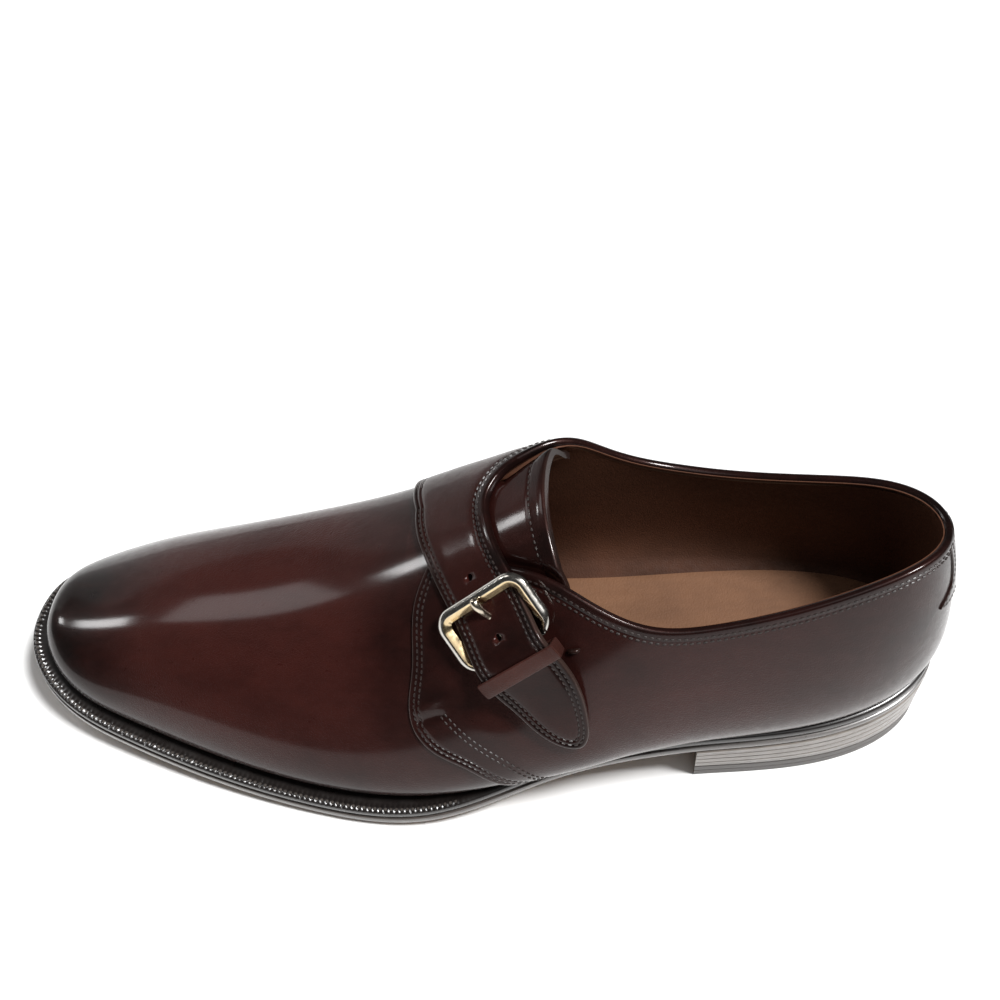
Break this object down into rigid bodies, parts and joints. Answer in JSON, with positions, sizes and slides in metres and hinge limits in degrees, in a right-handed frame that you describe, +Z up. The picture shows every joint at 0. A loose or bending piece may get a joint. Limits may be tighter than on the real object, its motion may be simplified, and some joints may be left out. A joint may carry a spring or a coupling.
{
  "type": "monk strap shoe",
  "caption": "Leather dress shoe for a left foot, closed over the instep by a broad strap with a buckle at the outer side, on a welted leather sole with a stacked heel.",
  "frame": {"origin": "on the floor, under the middle of the shoe's bounding box", "axes": "+Z up, toe towards -X, heel towards +X, outer side with the buckle towards -Y"},
  "size_m": [0.2918, 0.106, 0.0939],
  "materials": {
    "upper_leather": "burnished and waxed, glossy",
    "lining_leather": "matt vegetable-tanned lining",
    "sole_leather": "dyed edge, satin",
    "heel_rubber": "matt",
    "buckle_metal": "polished nickel silver with a warm tone inside"
  },
  "bodies": {
    "root": {"upper": "upper_leather", "tongue": "upper_leather", "strap": "upper_leather", "keeper": "upper_leather", "buckle_chape": "upper_leather", "insole": "lining_leather", "welt": "sole_leather", "outsole": "sole_leather", "heel_stack": "sole_leather", "heel_top_piece": "heel_rubber", "buckle_frame": "buckle_metal", "buckle_prong": "buckle_metal"}
  },
  "joints": []
}
